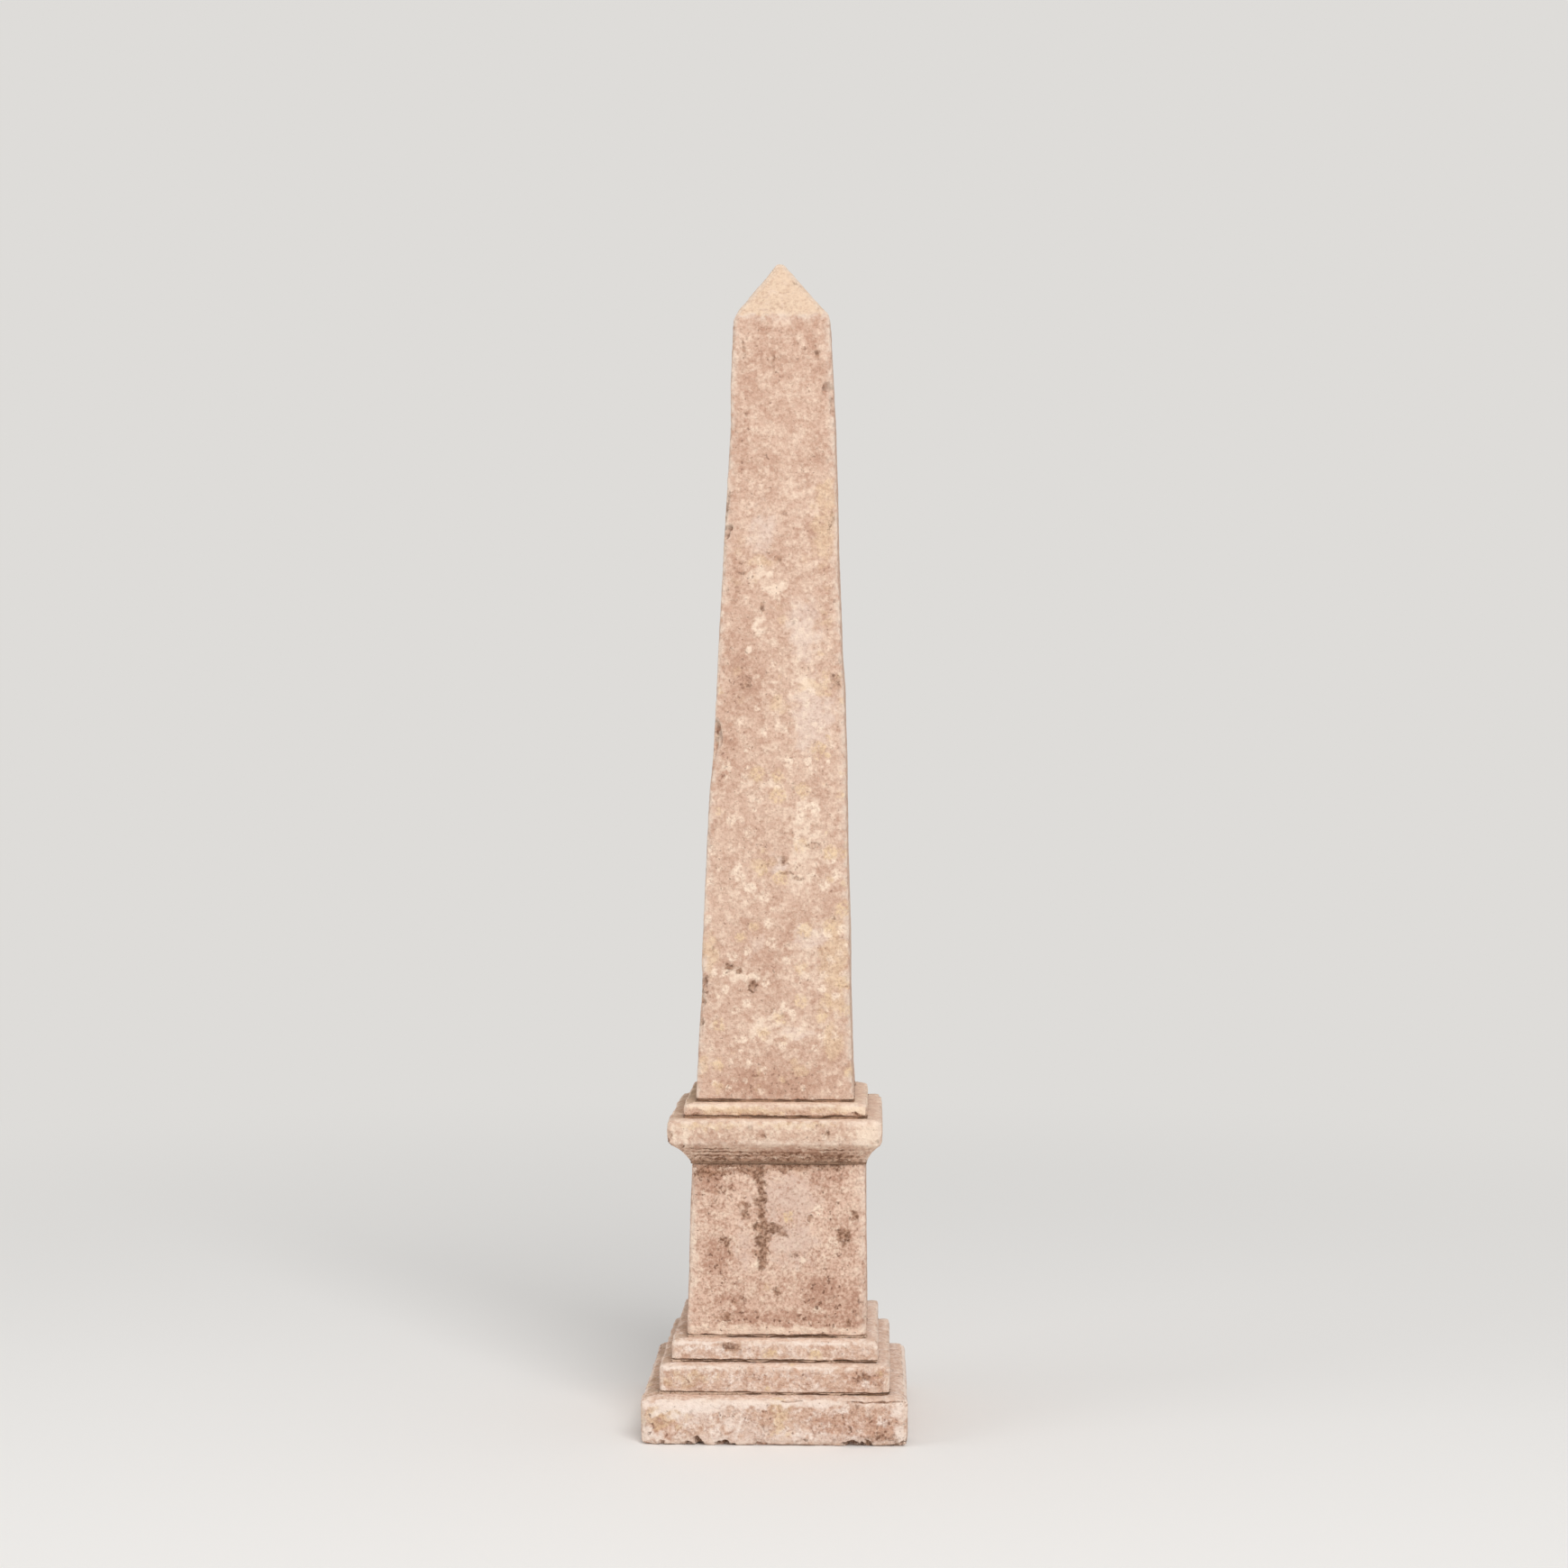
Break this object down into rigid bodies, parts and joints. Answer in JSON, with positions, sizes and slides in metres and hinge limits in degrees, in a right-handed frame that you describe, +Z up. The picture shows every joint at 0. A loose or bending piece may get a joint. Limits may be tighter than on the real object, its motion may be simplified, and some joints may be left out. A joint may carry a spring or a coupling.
{
  "type": "garden obelisk",
  "caption": "Small weathered pink stone obelisk: a tapering square needle with a pyramid point on a stepped pedestal with a plain cornice.",
  "frame": {"origin": "centre of the plinth's underside, on the ground", "axes": "+Z up along the needle, -Y out of the front face, +X to the right seen from the front"},
  "size_m": [0.25, 0.25, 1.1205],
  "materials": {
    "weathered_stone": "matt, weathered, open-grained",
    "dark_bed": "matt, dirty raked mortar"
  },
  "bodies": {
    "root": {"plinth": "weathered_stone", "lower_step_bed": "dark_bed", "lower_step": "weathered_stone", "upper_step_bed": "dark_bed", "upper_step": "weathered_stone", "die_bed": "dark_bed", "die": "weathered_stone", "cornice_bed": "dark_bed", "cornice": "weathered_stone", "needle_base_bed": "dark_bed", "needle_base": "weathered_stone", "needle_bed": "dark_bed", "needle": "weathered_stone"}
  },
  "joints": []
}
